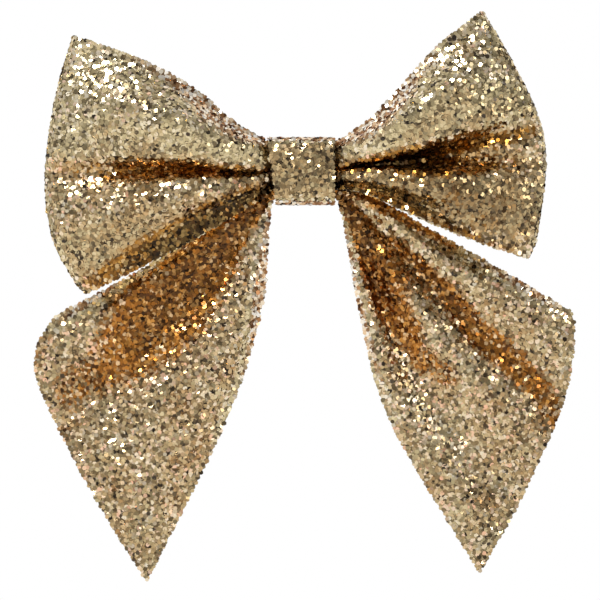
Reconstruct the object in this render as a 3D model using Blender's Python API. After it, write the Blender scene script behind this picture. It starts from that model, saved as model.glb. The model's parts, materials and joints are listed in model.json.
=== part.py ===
"""Pinched canvas hair bow on a sprung steel hair clip.

Two pleated loops, a wrapped knot and two pointed tails of stiff glitter canvas. The bow
stands as worn: +Z up, its front to -Y. The origin is in the clip's closed mouth, level with
the middle of the knot, so the hair lies in the plane Y = 0.
"""

from math import cos, pi, radians, sin

import bmesh
import bpy
import numpy as np
from mathutils import Vector

MM = 0.001

# Canvas
CANVAS = 0.9 * MM  # thickness of the coated canvas
GAP = 0.3 * MM  # clearance between pieces that touch

# Bow
LOOP_SPAN = 123.9 * MM  # across both loops, to the middle of the canvas at each fold
TAIL_DROP = 96.9 * MM  # from where the tails bend down to the tip of the longer one

# Outline of each loop in (X, Z) millimetres: lower edge and upper edge run out from the knot,
# the fold runs from the lower corner up to the upper corner.
LEFT_LOOP = {
    "lower": [(-8, -4.6), (-13, -8.5), (-27.7, -17.2), (-40, -23.6), (-53.5, -30.2)],
    "fold": [(-53.5, -30.2), (-56.6, -26.8), (-61.9, -16), (-63.6, -1), (-61.2, 17.7), (-56.7, 33.5)],
    "upper": [(-8, 6.6), (-12, 9.2), (-18, 12.8), (-27, 20.5), (-40.5, 27.8), (-56.7, 33.5)],
}
RIGHT_LOOP = {
    "lower": [(8, -4.2), (17, -6), (30.7, -12.2), (43, -17.2), (56.2, -21.5)],
    "fold": [(56.2, -21.5), (58.2, -16), (60.3, 1.5), (58.3, 14), (51, 29), (44.7, 39.6)],
    "upper": [(8, 6.8), (12, 9.1), (17, 12.8), (24.5, 20.6), (34.5, 31.5), (44.7, 39.6)],
}
# Outline of each tail: the inner edge and the outer edge run from the gathered end, and the
# slanted end runs from the tip to the shoulder.
LEFT_TAIL = {
    "inner": [(-3.6, -6.2), (-6.9, -6.5), (-7.8, -9.5), (-8.8, -20), (-10.6, -36), (-19.5, -63),
              (-39, -102.7)],
    "end": [(-39, -102.7), (-53.5, -78.7), (-65.4, -54.5), (-66.4, -44.6), (-61.5, -36.1)],
    "outer": [(-3.6, -4.3), (-8, -5), (-22, -12.8), (-34, -20.4), (-46, -27.4), (-61.5, -36.1)],
}
RIGHT_TAIL = {
    "inner": [(3.6, -6.2), (8.4, -6.3), (9.8, -9.6), (12, -20), (15.2, -37.5), (22.5, -63),
              (44.5, -100.4)],
    "end": [(44.5, -100.4), (55.5, -80.7), (65.9, -56), (68.2, -40), (67.2, -35)],
    "outer": [(3.6, -4.3), (8.4, -4.4), (20, -7.2), (42, -19.3), (67.2, -35)],
}
LOOP_ROOT = 8.0 * MM  # X at which the loops' drawings start
DRAWN_SPAN = 123.9 * MM  # the loops' and tails' sizes as drawn
DRAWN_DROP = 96.9 * MM
DRAWN_KNOT = 16.2 * MM  # height of the knot that the loops' roots are drawn for
DRAWN_BEND = -5.8 * MM  # Z of the line in the tails' drawings where they bend

# Pleats, as (share of the width from the lower or inner edge, height): 1 is a full crest towards
# the front and -1 a full valley.
LOOP_CREST = {-1: 0.36, 1: 0.33}  # middle crest of the left loop and of the right one
LOOP_VALLEY = 0.60  # the deep valley at the knot
VALLEY_DROP = {-1: 0.14, 1: 0.12}  # how far it has come down at the fold
LEFT_TAIL_CRESTS = [(0, 0.5), (0.22, 0.9), (0.55, -1.0), (0.86, 0.5), (1, 0.1)]
RIGHT_TAIL_CRESTS = [(0, 0.3), (0.14, -0.8), (0.45, 1.0), (0.72, -0.7), (0.92, 0.4), (1, 0.2)]

# Knot
KNOT_WIDTH = 15.2 * MM
KNOT_SHIFT = 0.3 * MM  # how far the band sits to the right of the middle
KNOT_HEIGHT = 16.2 * MM
KNOT_LEAN = 1.0 * MM  # how far the left edge leans out at the top and in at the bottom
KNOT_CORNER = 2.2 * MM
KNOT_CROWN = 0.25 * MM  # how far the middle of its front stands out
KNOT_LAP = 7.0 * MM  # overlap of the band's two ends at the back
KNOT_STEP = 1.6 * MM  # length of the band's bend from one layer to the other at the overlap
WAIST_ROOM = 0.6 * MM  # room above and below the thread, for the band's round corners
WAIST_RISE = 0.2 * MM  # how far the gathered middle sits above the knot's own
WAIST_PLEAT = 1.3 * MM  # half the depth of the pleats there
WAIST_STEP = 3.6 * MM  # from the middle out to where the strip's front leaves the thread
LOOP_LAP = 5.0 * MM  # half the overlap of the loop strip's two ends

# Depth of the loops, as distances in front of the waist's own place
LOOP_PUFF = 6.5 * MM  # how far the front of a loop stands out at its middle
LOOP_BACK_PUFF = 1.6 * MM  # the same for its back
LOOP_PLEAT = 4.0 * MM  # half the depth of a pleat at the middle of a loop
LOOP_BACK_PLEAT = 0.35 * MM  # the same for its back, which has two shallow waves
FOLD_SHARE = 0.1  # share of a loop's length that the round fold takes

# Tail relief
TAIL_RELIEF = 2.2 * MM  # half the depth of a tail's pleats at its middle
TAIL_SEAT = 2.3 * MM  # from the knot's lower edge up to the line where the tails bend out of it

# Thread
THREAD = 0.8 * MM
THREAD_TURNS = 4
THREAD_PITCH = 1.3 * MM

# Glue
GLUE_CORNER = 2.0 * MM  # round corners of both dabs
WAIST_GLUE_WIDTH = 6.4 * MM
PAD_THICKNESS = 0.45 * MM
PAD_WIDTH = 15.0 * MM
PAD_ROOM = 1.0 * MM  # room between the pad and the band, above and below it
TAIL_PLAY = 0.4 * MM  # room before and behind a tail's gathered end, which it needs to swing

# Clip
STEEL = 0.9 * MM
CLIP_MOUTH = 36.0 * MM  # from the pivot to the tips
CLIP_LEVER = 13.0 * MM  # from the pivot to the thumb end
CLIP_WIDTH = 8.0 * MM
CLIP_TIP_WIDTH = 5.0 * MM
CLIP_PIVOT_X = 13.0 * MM
CLIP_HALF_MOUTH = 2.85 * MM  # from the hair plane to each arm, at the middle
TIP_HALF_GAP = 0.15 * MM
TIP_LENGTH = 8.0 * MM  # the stretch over which the arms close on each other
TOP_LEVER_RISE = 0.5 * MM
BOTTOM_LEVER_RISE = 3.4 * MM
EAR_THICKNESS = 0.8 * MM
EAR_RADIUS = 1.9 * MM
EAR_FOOT = 3.0 * MM  # half the ear's width where it leaves the arm
EAR_INSET = 0.12 * MM  # from the arm's edge to the ear's outer face
TOOTH_DEPTH = 1.0 * MM
TOOTH_HALF_BASE = 0.7 * MM
TOOTH_HALF_WIDTH = 2.6 * MM
TOOTH_START = 1.2 * MM  # from the end of the tip's bend to the first tooth
TOOTH_PITCH = 1.7 * MM
TOOTH_COUNT = 4
THUMB_ROUND = 3.0 * MM  # length of the thumb end's round-off
WAIST_START = 9.0 * MM  # from the pivot back to where the arm starts to narrow for it
WAIST_RUN = 5.0 * MM
PIN_RADIUS = 0.9 * MM
PIN_HEAD_RADIUS = 1.5 * MM
PIN_HEAD_HEIGHT = 0.5 * MM
WIRE_RADIUS = 0.3 * MM
SPRING_TURNS = 3
SPRING_LEG = 6.0 * MM

# Gathered height of the loop strip under the thread, the tails' bend and the pad behind them
WAIST_HEIGHT = KNOT_HEIGHT - 2 * (CANVAS + THREAD + 2 * GAP + WAIST_ROOM)

TAIL_BEND_Z = TAIL_SEAT - KNOT_HEIGHT / 2
PAD_HEIGHT = KNOT_HEIGHT - 2 * (CANVAS + PAD_ROOM)

# Widths at the pivot: the lower arm and its ears pass between the upper arm's ears
TOP_EAR_Z = CLIP_WIDTH / 2 - EAR_INSET
BOTTOM_WAIST = 2 * (TOP_EAR_Z - EAR_THICKNESS - GAP)
BOTTOM_EAR_Z = BOTTOM_WAIST / 2 - EAR_INSET
SPRING_PITCH = 2 * (BOTTOM_EAR_Z - EAR_THICKNESS - GAP - WIRE_RADIUS) / (SPRING_TURNS + 0.5)

# Places in depth, from the hair plane forwards: each layer follows from the one behind it
TOP_JAW_Y = -CLIP_HALF_MOUTH - STEEL / 2
PAD_Y = TOP_JAW_Y - STEEL / 2 - GAP - PAD_THICKNESS / 2
TAIL_Y = PAD_Y - PAD_THICKNESS / 2 - TAIL_PLAY - CANVAS / 2
THREAD_BACK_Y = TAIL_Y - CANVAS / 2 - TAIL_PLAY - THREAD / 2
STRIP_OUTER_Y = THREAD_BACK_Y - THREAD / 2 - GAP - CANVAS / 2
STRIP_INNER_Y = STRIP_OUTER_Y - CANVAS - GAP
STRIP_FRONT_Y = STRIP_INNER_Y - CANVAS - GAP - WAIST_PLEAT
THREAD_FRONT_Y = STRIP_FRONT_Y - WAIST_PLEAT - CANVAS / 2 - GAP - THREAD / 2
BAND_FRONT_Y = THREAD_FRONT_Y - THREAD / 2 - GAP - CANVAS / 2
BAND_BACK_Y = TOP_JAW_Y + STEEL / 2 + GAP + CANVAS / 2
BAND_LAP_Y = BAND_BACK_Y + CANVAS + GAP


def clear_scene():
    for obj in list(bpy.data.objects):
        bpy.data.objects.remove(obj, do_unlink=True)


def material(name, colour, roughness, metallic):
    made = bpy.data.materials.new(name)
    made.use_nodes = True
    shader = made.node_tree.nodes["Principled BSDF"]
    shader.inputs["Base Color"].default_value = (*colour, 1)
    shader.inputs["Roughness"].default_value = roughness
    shader.inputs["Metallic"].default_value = metallic
    made.diffuse_color = (*colour, 1)
    return made


def add_object(name, mesh_data, surface, smooth=True):
    mesh_data.materials.append(surface)
    if smooth:
        mesh_data.shade_smooth()
        mesh_data.set_sharp_from_angle(angle=radians(40))
    obj = bpy.data.objects.new(name, mesh_data)
    bpy.context.scene.collection.objects.link(obj)
    return obj


def ease(x):
    """0 to 1, level at both ends."""
    x = min(max(x, 0.0), 1.0)
    return x * x * (3 - 2 * x)


def smooth_path(points, shares):
    """Points of a smooth curve through the given ones, at shares 0 to 1 of its length."""
    points = np.array(points, float)
    ends = np.vstack([2 * points[0] - points[1], points, 2 * points[-1] - points[-2]])
    curve = []
    for i in range(len(points) - 1):
        a, b, c, d = ends[i : i + 4]
        steps = np.linspace(0, 1, 24, endpoint=False)[:, None]
        curve.append(
            0.5 * (2 * b + (c - a) * steps + (2 * a - 5 * b + 4 * c - d) * steps**2
                   + (3 * b - a - 3 * c + d) * steps**3)
        )
    curve = np.vstack([*curve, points[-1:]])
    length = np.concatenate([[0], np.cumsum(np.linalg.norm(np.diff(curve, axis=0), axis=1))])
    wanted = np.asarray(shares) * length[-1]
    return np.stack([np.interp(wanted, length, curve[:, k]) for k in range(curve.shape[1])], axis=1)


def fill_outline(low, end, high, along, across):
    """Points of a patch between four edges, in rows from its start to its end."""
    low = smooth_path(low, along)
    high = smooth_path(high, along)
    end = smooth_path(end, across)
    start = low[0] + (high[0] - low[0]) * np.asarray(across)[:, None]
    rows = []
    for i, u in enumerate(along):
        for_row = []
        for j, v in enumerate(across):
            ruled = (1 - v) * low[i] + v * high[i]
            fanned = (1 - u) * start[j] + u * end[j]
            corners = ((1 - u) * ((1 - v) * low[0] + v * high[0])
                       + u * ((1 - v) * low[-1] + v * high[-1]))
            for_row.append(ruled + fanned - corners)
        rows.append(for_row)
    return np.array(rows)


def wave(v, crests):
    """Height at v of a pleated line that turns smoothly at each (place, height)."""
    places = [place for place, _ in crests]
    v = min(max(v, places[0]), places[-1])
    for (a, low), (b, high) in zip(crests, crests[1:]):
        if v <= b:
            return low + (high - low) * ease((v - a) / (b - a))
    return crests[-1][1]


def sheet(name, rows, thickness, surface):
    """A closed sheet of even thickness about a grid of points."""
    rows = np.asarray(rows, float)
    count, width = rows.shape[:2]
    normals = np.cross(np.gradient(rows, axis=0), np.gradient(rows, axis=1))
    normals /= np.linalg.norm(normals, axis=2, keepdims=True)
    bm = bmesh.new()
    sides = []
    for way in (1, -1):
        points = rows + way * thickness / 2 * normals
        sides.append([[bm.verts.new(points[i, j]) for j in range(width)] for i in range(count)])
    top, bottom = sides
    for i in range(count - 1):
        for j in range(width - 1):
            bm.faces.new((top[i][j], top[i + 1][j], top[i + 1][j + 1], top[i][j + 1]))
            bm.faces.new((bottom[i][j], bottom[i][j + 1], bottom[i + 1][j + 1], bottom[i + 1][j]))
    rim = [(i, 0) for i in range(count)] + [(count - 1, j) for j in range(1, width)]
    rim += [(i, width - 1) for i in range(count - 2, -1, -1)] + [(0, j) for j in range(width - 2, 0, -1)]
    for (i, j), (k, m) in zip(rim, rim[1:] + rim[:1]):
        bm.faces.new((top[i][j], bottom[i][j], bottom[k][m], top[k][m]))
    bmesh.ops.recalc_face_normals(bm, faces=bm.faces)
    mesh_data = bpy.data.meshes.new(name)
    bm.to_mesh(mesh_data)
    bm.free()
    return add_object(name, mesh_data, surface)


def tube(name, points, radius, surface, sides=2):
    """A round wire with closed ends along the points."""
    curve = bpy.data.curves.new(name, "CURVE")
    curve.dimensions = "3D"
    curve.bevel_depth = radius
    curve.bevel_resolution = sides
    curve.use_fill_caps = True
    spline = curve.splines.new("POLY")
    spline.points.add(len(points) - 1)
    for place, point in zip(spline.points, points):
        place.co = (*point, 1)
    curve.materials.append(surface)
    obj = bpy.data.objects.new(name, curve)
    bpy.context.scene.collection.objects.link(obj)
    return obj


def plate_mesh(name, outline, low, high):
    """The outline, in X and Y, extruded along Z from low to high."""
    bm = bmesh.new()
    face = bm.faces.new([bm.verts.new((x, y, low)) for x, y in outline])
    grown = bmesh.ops.extrude_face_region(bm, geom=[face])
    tops = [v for v in grown["geom"] if isinstance(v, bmesh.types.BMVert)]
    bmesh.ops.translate(bm, vec=(0, 0, high - low), verts=tops)
    bmesh.ops.recalc_face_normals(bm, faces=bm.faces)
    mesh_data = bpy.data.meshes.new(name)
    bm.to_mesh(mesh_data)
    bm.free()
    return mesh_data


def helper(name, mesh_data):
    """An object that only joins or cuts another."""
    obj = bpy.data.objects.new(name, mesh_data)
    bpy.context.scene.collection.objects.link(obj)
    obj.hide_render = True
    obj.display_type = "WIRE"
    return obj


def boolean(target, other, operation):
    change = target.modifiers.new(f"{operation.lower()} {other.name}", "BOOLEAN")
    change.operation = operation
    change.object = other
    change.solver = "EXACT"


# Loop strip

def loop_crests(side, u):
    """Pleats of a loop's front across its width, from the lower edge (0) to the upper (1)."""
    spread = ease(u)
    edge = 0.02 + 0.12 * (1 - spread)
    valley = LOOP_VALLEY - VALLEY_DROP[side] * spread
    return [(0.0, 0.1), (edge, -0.8 * (1 - spread)), (LOOP_CREST[side], 0.55),
            (valley, -1.0), (0.80, 1.0), (1.0, -0.2)]


def loop_depths(side, u, v):
    """Places in Y of a loop's front and back at a point of its outline."""
    puff = sin(pi * min(u, 1.0) ** 0.8) * 0.75 + 0.25 * ease(u)
    pleat = WAIST_PLEAT + (LOOP_PLEAT - WAIST_PLEAT) * ease(u / 0.45)
    pleat *= 1 - 0.75 * ease((u - 0.55) / 0.45)
    front = STRIP_FRONT_Y - LOOP_PUFF * puff - pleat * wave(v, loop_crests(side, u))
    back = STRIP_INNER_Y if side < 0 else STRIP_OUTER_Y
    back += (STRIP_INNER_Y - LOOP_BACK_PUFF - back) * ease(u / 0.3)
    back += LOOP_BACK_PLEAT * cos(4 * pi * v) * ease(u / 0.4)
    closing = max(0.0, (u - (1 - FOLD_SHARE)) / FOLD_SHARE)
    middle, half = (front + back) / 2, (back - front) / 2
    half *= max(0.0, 1 - closing**2) ** 0.5
    return middle - half, middle + half


def loop_rows(side, drawing, along, across):
    """Rows of one loop's front and of its back, from the knot to the fold."""
    flat = fill_outline(drawing["lower"], drawing["fold"], drawing["upper"], along, across)
    reach = (LOOP_SPAN - 2 * LOOP_ROOT) / (DRAWN_SPAN - 2 * LOOP_ROOT)
    fronts, backs = [], []
    for i, u in enumerate(along):
        front_row, back_row = [], []
        for j, v in enumerate(across):
            x, z = flat[i, j] * MM
            x = side * LOOP_ROOT + (x - side * LOOP_ROOT) * reach
            z *= 1 + (KNOT_HEIGHT / DRAWN_KNOT - 1) * (1 - ease(u / 0.3))
            front, back = loop_depths(side, u, v)
            front_row.append((x, front, z))
            back_row.append((x, back, z))
        fronts.append(front_row)
        backs.append(back_row)
    return fronts, backs


def waist_row(x, y, across, pleated, side):
    """One row of the strip's gathered middle."""
    row = []
    for v in across:
        depth = y - (WAIST_PLEAT * wave(v, loop_crests(side, 0)) if pleated else 0)
        row.append((x, depth, (v - 0.5) * WAIST_HEIGHT + WAIST_RISE))
    return row


def make_loop_strip(surface):
    across = np.linspace(0, 1, 17)
    along = np.concatenate([np.linspace(0, 1 - FOLD_SHARE, 10)[:-1],
                            1 - FOLD_SHARE * (1 - np.sin(np.linspace(0, pi / 2, 5)))])
    left_front, left_back = loop_rows(-1, LEFT_LOOP, along, across)
    right_front, right_back = loop_rows(1, RIGHT_LOOP, along, across)
    lap = [waist_row(x, STRIP_INNER_Y, across, False, -1) for x in (LOOP_LAP, 0, -LOOP_LAP)]
    middle = [waist_row(x, STRIP_FRONT_Y, across, True, side)
              for x, side in ((-WAIST_STEP, -1), (0, -1), (WAIST_STEP, 1))]
    cover = [waist_row(x, STRIP_OUTER_Y, across, False, 1) for x in (LOOP_LAP, 0, -LOOP_LAP)]
    rows = lap + left_back + left_front[-2::-1] + middle
    rows += right_front + right_back[-2::-1] + cover
    return sheet("loop_strip", rows, CANVAS, surface)


# Tails

def tail_rows(drawing, crests, along, across):
    flat = fill_outline(drawing["inner"], drawing["end"], drawing["outer"], along, across)
    rows = []
    for i, u in enumerate(along):
        relief = TAIL_RELIEF * ease((u - 0.1) / 0.3) * (1 - 0.6 * ease((u - 0.55) / 0.45))
        row = []
        for j, v in enumerate(across):
            x, z = flat[i, j] * MM
            z = TAIL_BEND_Z + (z - DRAWN_BEND) * TAIL_DROP / DRAWN_DROP
            row.append((x, TAIL_Y - relief * wave(v, crests), z))
        rows.append(row)
    return rows


def make_tail(name, drawing, crests, surface):
    along = np.linspace(0, 1, 19) ** 1.15
    across = np.linspace(0, 1, 13)
    return sheet(name, tail_rows(drawing, crests, along, across), CANVAS, surface)


# Knot band

def rounded_box(front, back, half_height, corner, steps=5):
    """Points (Y, Z) round a box with round corners, from the back's middle over the top."""
    places = [(back, 0.0)]
    for centre_y, centre_z, start in (
        (back - corner, half_height - corner, 0),
        (front + corner, half_height - corner, 90),
        (front + corner, -half_height + corner, 180),
        (back - corner, -half_height + corner, 270),
    ):
        for step in range(steps + 1):
            turn = radians(start + 90 * step / steps)
            places.append((centre_y + corner * cos(turn), centre_z + corner * sin(turn)))
    return places


def make_knot_band(surface):
    half = KNOT_HEIGHT / 2 - CANVAS / 2
    corner_steps = 5
    path = rounded_box(BAND_FRONT_Y, BAND_BACK_Y, half, KNOT_CORNER, corner_steps)
    flat = half - KNOT_CORNER
    crowned = [(BAND_FRONT_Y - KNOT_CROWN * sin(pi * share), flat * (1 - 2 * share))
               for share in (0.2, 0.4, 0.6, 0.8)]
    front_start = 1 + 2 * (corner_steps + 1)
    path[front_start:front_start] = crowned
    lap_end = KNOT_LAP / 2
    path[0] = (BAND_BACK_Y, -lap_end)
    path += [(BAND_BACK_Y + 0.1 * MM, -lap_end - KNOT_STEP), (BAND_LAP_Y, -lap_end - 0.2 * MM),
             (BAND_LAP_Y, lap_end)]
    rows = []
    for y, z in path:
        lean = KNOT_LEAN * z / (KNOT_HEIGHT / 2)
        left = KNOT_SHIFT - KNOT_WIDTH / 2 - lean
        right = KNOT_SHIFT + KNOT_WIDTH / 2
        rows.append([(left + (right - left) * v, y, z) for v in np.linspace(0, 1, 5)])
    return sheet("knot_band", rows, CANVAS, surface)


# Thread and glue

def make_waist_thread(surface):
    """Turns of thread side by side, each round the gathered strip's square section."""
    half_height = WAIST_HEIGHT / 2 + GAP + THREAD / 2
    turn = rounded_box(THREAD_FRONT_Y, THREAD_BACK_Y, half_height, THREAD, steps=3)
    points = []
    for step in range(THREAD_TURNS * len(turn) + 1):
        y, z = turn[step % len(turn)]
        x = (step / len(turn) - THREAD_TURNS / 2) * THREAD_PITCH
        points.append((x, y, z + WAIST_RISE))
    return tube("waist_thread", points, THREAD / 2, surface, sides=1)


def make_pad(name, width, height, back, front, surface):
    """A set dab of glue: a flat pad with round corners."""
    outline = []
    for sx, sz, start in ((1, 1, 0), (-1, 1, 90), (-1, -1, 180), (1, -1, 270)):
        for step in range(5):
            turn = radians(start + 22.5 * step)
            outline.append((sx * (width / 2 - GLUE_CORNER) + GLUE_CORNER * cos(turn),
                            sz * (height / 2 - GLUE_CORNER) + GLUE_CORNER * sin(turn)))
    mesh_data = plate_mesh(name, outline, 0, back - front)
    for vertex in mesh_data.vertices:
        x, z, depth = vertex.co
        vertex.co = (x, back - depth, z)
    return add_object(name, mesh_data, surface)


# Clip

def arm_path(way, lever_rise):
    """The arm's line (X, Y) from the tips, through the pivot, to the thumb end. way is -1 or 1."""
    tip = CLIP_PIVOT_X - CLIP_MOUTH
    flat_y = CLIP_HALF_MOUTH + STEEL / 2
    places = []
    for share in np.linspace(0, 1, 7):
        y = TIP_HALF_GAP + STEEL / 2 + (flat_y - TIP_HALF_GAP - STEEL / 2) * ease(0.15 + 0.85 * share)
        places.append((tip + TIP_LENGTH * share, way * y))
    for share in np.linspace(0.2, 1, 5):
        places.append((tip + TIP_LENGTH + (CLIP_MOUTH - TIP_LENGTH) * share, way * flat_y))
    for share in np.linspace(0.2, 1, 5):
        places.append((CLIP_PIVOT_X + CLIP_LEVER * share, way * (flat_y + lever_rise * ease(share))))
    return places


def arm_width(x, waist):
    """Width of an arm at x: narrow tips, round thumb end, and the given width at the pivot."""
    tip = CLIP_PIVOT_X - CLIP_MOUTH
    if x < tip + TIP_LENGTH:
        return CLIP_TIP_WIDTH + (CLIP_WIDTH - CLIP_TIP_WIDTH) * ease((x - tip) / TIP_LENGTH)
    end = CLIP_PIVOT_X + CLIP_LEVER
    round_off = max(0.0, (x - end + THUMB_ROUND) / THUMB_ROUND)
    near = CLIP_WIDTH + (waist - CLIP_WIDTH) * ease((x - CLIP_PIVOT_X + WAIST_START) / WAIST_RUN)
    return near * (1 - 0.35 * round_off**2)


def make_arm(name, way, lever_rise, waist, surface):
    rows = []
    for x, y in arm_path(way, lever_rise):
        half = arm_width(x, waist) / 2
        rows.append([(x, y, half * v) for v in np.linspace(-1, 1, 5)])
    return sheet(name, rows, STEEL, surface)


def ear_outline(way):
    """The ear in X and Y: a foot inside the arm, and a round end about the pivot."""
    foot_y = way * (CLIP_HALF_MOUTH + STEEL * 0.5)
    outline = [(CLIP_PIVOT_X - EAR_FOOT, foot_y), (CLIP_PIVOT_X + EAR_FOOT, foot_y)]
    for step in range(9):
        turn = pi * step / 8
        outline.append((CLIP_PIVOT_X + EAR_RADIUS * cos(turn), -way * EAR_RADIUS * sin(turn)))
    return outline


def add_ears(arm, way, outer):
    """Two ears joined to the arm, bored for the pin. outer is the ears' outer faces in Z."""
    for side in (-1, 1):
        faces = sorted((side * outer, side * (outer - EAR_THICKNESS)))
        ear = helper(f"{arm.name}_ear_{'low' if side < 0 else 'high'}",
                     plate_mesh("ear", ear_outline(way), *faces))
        boolean(arm, ear, "UNION")
    bore = PIN_RADIUS + GAP
    circle = [(CLIP_PIVOT_X + bore * cos(2 * pi * k / 24), bore * sin(2 * pi * k / 24))
              for k in range(24)]
    cutter = helper(f"{arm.name}_bore", plate_mesh("bore", circle, -CLIP_WIDTH, CLIP_WIDTH))
    boolean(arm, cutter, "DIFFERENCE")


def add_teeth(arm):
    """A row of pointed teeth along the lower arm's mouth, inside its width."""
    tip = CLIP_PIVOT_X - CLIP_MOUTH
    root = CLIP_HALF_MOUTH + STEEL / 2
    for k in range(TOOTH_COUNT):
        x = tip + TIP_LENGTH + TOOTH_START + TOOTH_PITCH * k
        outline = [(x - TOOTH_HALF_BASE, root), (x + TOOTH_HALF_BASE, root),
                   (x, root - STEEL / 2 - TOOTH_DEPTH)]
        tooth = helper(f"{arm.name}_tooth_{k + 1}",
                       plate_mesh("tooth", outline, -TOOTH_HALF_WIDTH, TOOTH_HALF_WIDTH))
        boolean(arm, tooth, "UNION")


def make_pin(surface):
    """A rivet with a head at each end, turned about its own Z axis."""
    half = CLIP_WIDTH / 2 + GAP
    mesh_data = bpy.data.meshes.new("clip_pivot_pin")
    bm = bmesh.new()
    profile = [(0, half + PIN_HEAD_HEIGHT), (PIN_HEAD_RADIUS * 0.7, half + PIN_HEAD_HEIGHT),
               (PIN_HEAD_RADIUS, half + PIN_HEAD_HEIGHT / 2), (PIN_HEAD_RADIUS, half),
               (PIN_RADIUS, half), (PIN_RADIUS, -half), (PIN_HEAD_RADIUS, -half),
               (PIN_HEAD_RADIUS, -half - PIN_HEAD_HEIGHT / 2),
               (PIN_HEAD_RADIUS * 0.7, -half - PIN_HEAD_HEIGHT), (0, -half - PIN_HEAD_HEIGHT)]
    verts = [bm.verts.new((r, 0, z)) for r, z in profile]
    edges = [bm.edges.new(pair) for pair in zip(verts, verts[1:])]
    bmesh.ops.spin(bm, geom=verts + edges, axis=(0, 0, 1), cent=(0, 0, 0), angle=2 * pi, steps=16)
    bmesh.ops.remove_doubles(bm, verts=bm.verts, dist=1e-6)
    bmesh.ops.recalc_face_normals(bm, faces=bm.faces)
    bm.to_mesh(mesh_data)
    bm.free()
    pin = add_object("clip_pivot_pin", mesh_data, surface)
    pin.location = (CLIP_PIVOT_X, 0, 0)


def make_spring(surface):
    """Open turns about the pin, and a leg inside each arm's lever."""
    radius = PIN_RADIUS + GAP + WIRE_RADIUS
    leg_bow = 0.2 * MM
    low = -(SPRING_TURNS + 0.5) * SPRING_PITCH / 2
    top_leg_y = -CLIP_HALF_MOUTH + GAP + WIRE_RADIUS
    bottom_leg_y = CLIP_HALF_MOUTH - GAP - WIRE_RADIUS
    points = [(SPRING_LEG, top_leg_y, low), (SPRING_LEG / 2, top_leg_y + leg_bow, low)]
    steps = 16
    for step in range(SPRING_TURNS * steps + steps // 2 + 1):
        turn = -pi / 2 - 2 * pi * step / steps
        height = low + SPRING_PITCH * step / steps
        points.append((radius * cos(turn), radius * sin(turn), height))
    points += [(SPRING_LEG / 2, bottom_leg_y - leg_bow, points[-1][2]),
               (SPRING_LEG, bottom_leg_y, points[-1][2])]
    spring = tube("clip_spring", points, WIRE_RADIUS, surface, sides=1)
    spring.location = (CLIP_PIVOT_X, 0, 0)


def hinge_mesh(obj, place):
    """Moves the object's origin to its joint's axis and leaves its shape where it is."""
    place = Vector(place)
    for vertex in obj.data.vertices:
        vertex.co -= place
    obj.location = place


clear_scene()
canvas = material("glitter_canvas", (0.62, 0.50, 0.33), 0.4, 0.8)
knot_canvas = material("knot_canvas", (0.55, 0.45, 0.30), 0.4, 0.8)
thread_wax = material("waxed_thread", (0.72, 0.66, 0.52), 0.7, 0.0)
set_glue = material("set_glue", (0.86, 0.82, 0.70), 0.3, 0.0)
nickel = material("nickel_steel", (0.72, 0.72, 0.70), 0.28, 1.0)
spring_steel = material("spring_steel", (0.45, 0.45, 0.46), 0.35, 1.0)

make_loop_strip(canvas)
left_tail = make_tail("tail_left", LEFT_TAIL, LEFT_TAIL_CRESTS, canvas)
right_tail = make_tail("tail_right", RIGHT_TAIL, RIGHT_TAIL_CRESTS, canvas)
for tail, side in ((left_tail, -1), (right_tail, 1)):
    hinge_mesh(tail, (side * KNOT_WIDTH / 2, TAIL_Y, TAIL_BEND_Z))
make_knot_band(knot_canvas)
make_waist_thread(thread_wax)
make_pad("waist_glue", WAIST_GLUE_WIDTH, WAIST_HEIGHT, PAD_Y - PAD_THICKNESS / 2 - GAP,
         THREAD_BACK_Y + THREAD / 2 + GAP, set_glue)
make_pad("glue_pad", PAD_WIDTH, PAD_HEIGHT, PAD_Y + PAD_THICKNESS / 2, PAD_Y - PAD_THICKNESS / 2,
         set_glue)

top_jaw = make_arm("clip_top_jaw", -1, TOP_LEVER_RISE, CLIP_WIDTH, nickel)
add_ears(top_jaw, -1, TOP_EAR_Z)
bottom_jaw = make_arm("clip_bottom_jaw", 1, BOTTOM_LEVER_RISE, BOTTOM_WAIST, nickel)
add_ears(bottom_jaw, 1, BOTTOM_EAR_Z)
add_teeth(bottom_jaw)
make_pin(nickel)
make_spring(spring_steel)
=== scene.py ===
"""Pinched bow of stiff glitter canvas on a sprung steel hair clip.

The bow stands as worn: +Z up, its front to -Y, and the hair in the plane Y = 0.
"""

import json
from math import cos, pi, radians, sin

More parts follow.
